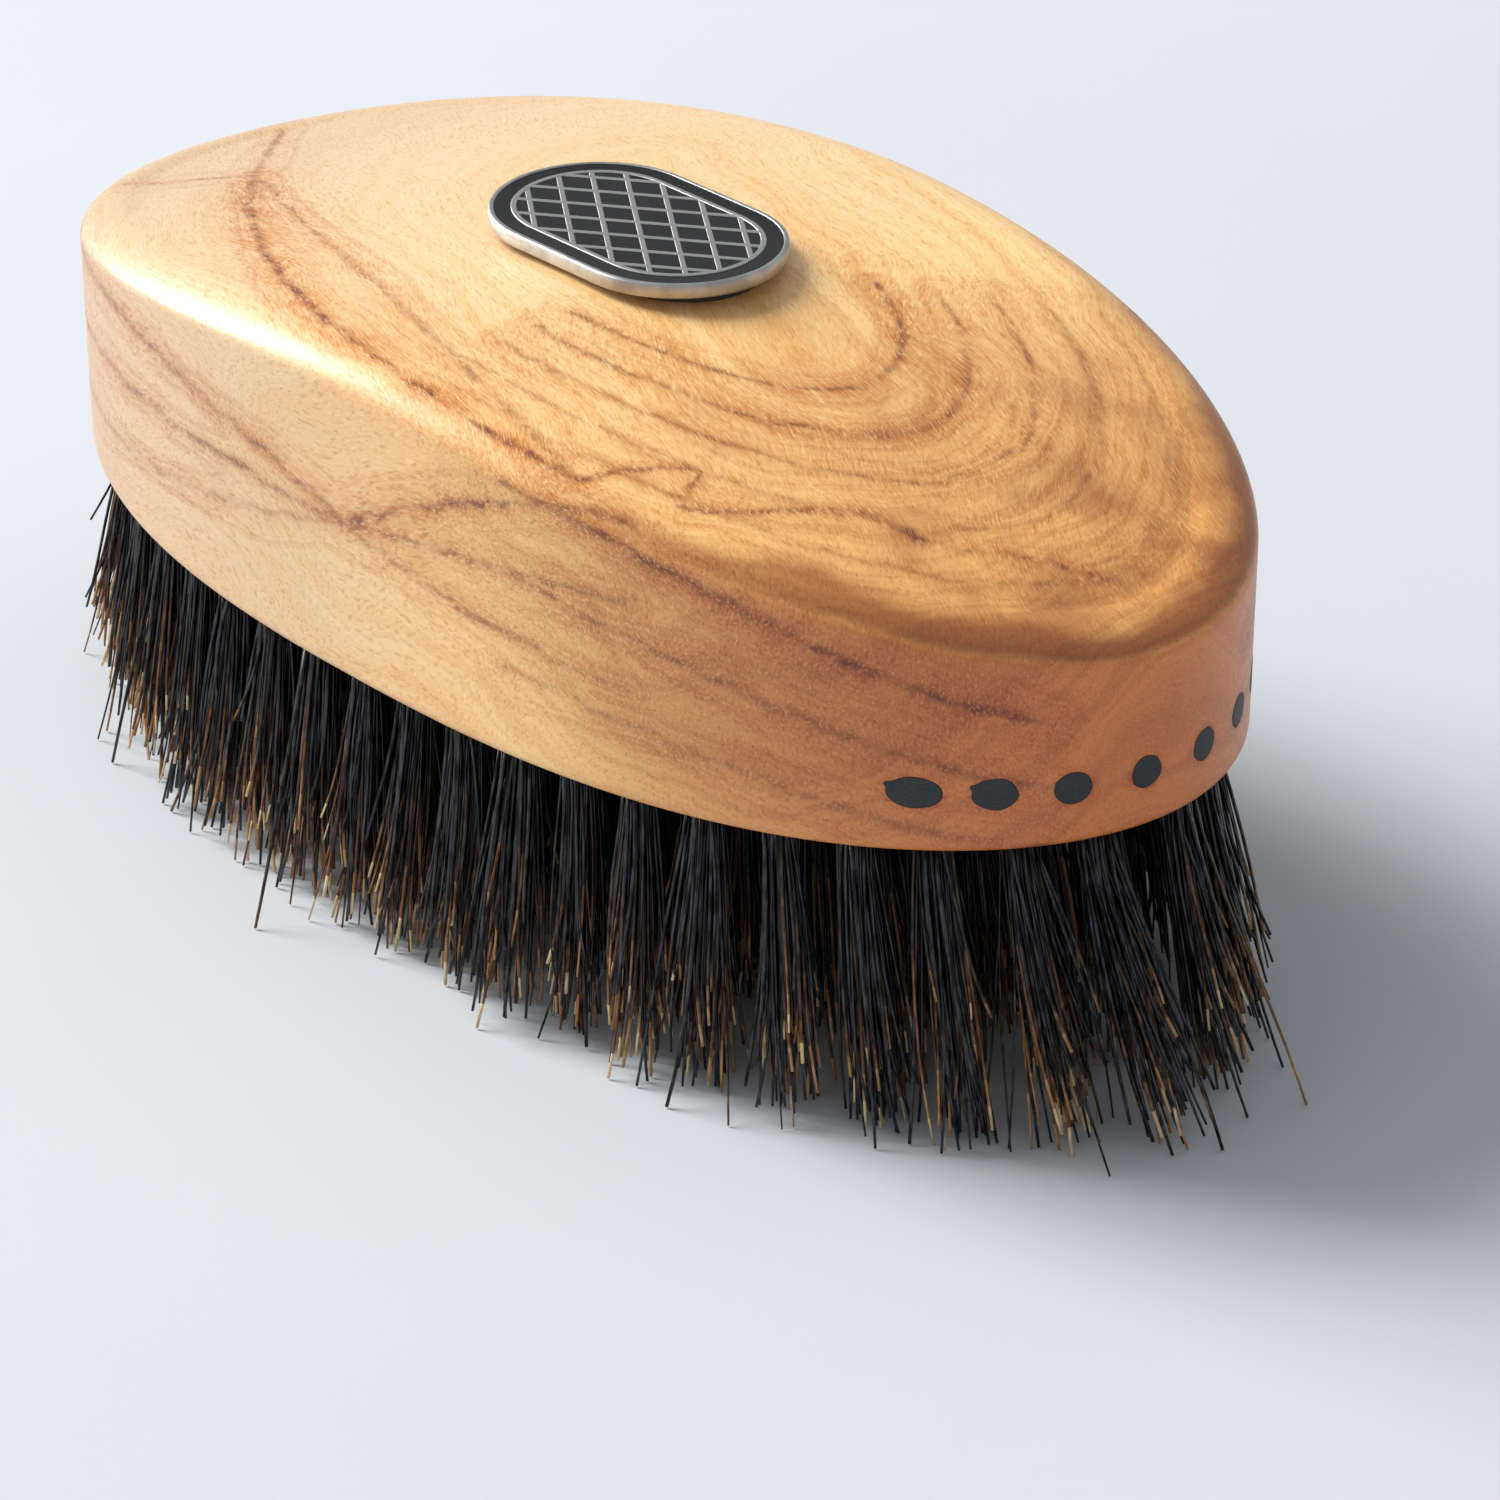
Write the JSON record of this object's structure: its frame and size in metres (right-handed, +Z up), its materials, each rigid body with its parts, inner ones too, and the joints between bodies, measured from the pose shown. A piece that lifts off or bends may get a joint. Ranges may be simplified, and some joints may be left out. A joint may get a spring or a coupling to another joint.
{
  "type": "beard brush",
  "caption": "Palm-sized oval beard brush: a solid olive-wood stock with a domed top, dark end plugs, rows of dark bristle tufts and a small oval enamel badge.",
  "frame": {"origin": "centre of the brush's outline, on the plane of the bristle tips", "axes": "+X along the brush towards the plugged end, +Y across it, +Z up from the bristle tips to the badge"},
  "size_m": [0.116, 0.0582, 0.052],
  "materials": {
    "olive_wood": "satin oiled olive wood with flowing darker figure",
    "plug_wood": "near-black wood sanded flush, matte",
    "bristle": "glossy natural boar bristle, black to brown with paler tips",
    "draw_wire": "drawn brass wire",
    "badge_metal": "satin silver-coloured metal",
    "badge_enamel": "smooth black enamel",
    "badge_pad": "thin dark mounting pad"
  },
  "bodies": {
    "root": {"channel_plug_1": "plug_wood", "channel_plug_2": "plug_wood", "channel_plug_3": "plug_wood", "channel_plug_4": "plug_wood", "channel_plug_5": "plug_wood", "channel_plug_6": "plug_wood", "channel_plug_7": "plug_wood", "channel_plug_8": "plug_wood", "draw_wire_1": "draw_wire", "draw_wire_2": "draw_wire", "draw_wire_3": "draw_wire", "draw_wire_4": "draw_wire", "draw_wire_5": "draw_wire", "draw_wire_6": "draw_wire", "draw_wire_7": "draw_wire", "draw_wire_8": "draw_wire", "tuft_row_1": "bristle", "tuft_row_2": "bristle", "tuft_row_3": "bristle", "tuft_row_4": "bristle", "tuft_row_5": "bristle", "tuft_row_6": "bristle", "tuft_row_7": "bristle", "tuft_row_8": "bristle", "tuft_row_near_edge": "bristle", "tuft_row_near_fill": "bristle", "tuft_row_far_fill": "bristle", "tuft_row_far_edge": "bristle", "wooden_stock": "olive_wood", "badge_plate": "badge_metal", "badge_lattice": "badge_metal", "badge_enamel": "badge_enamel", "badge_pad": "badge_pad"}
  },
  "joints": []
}
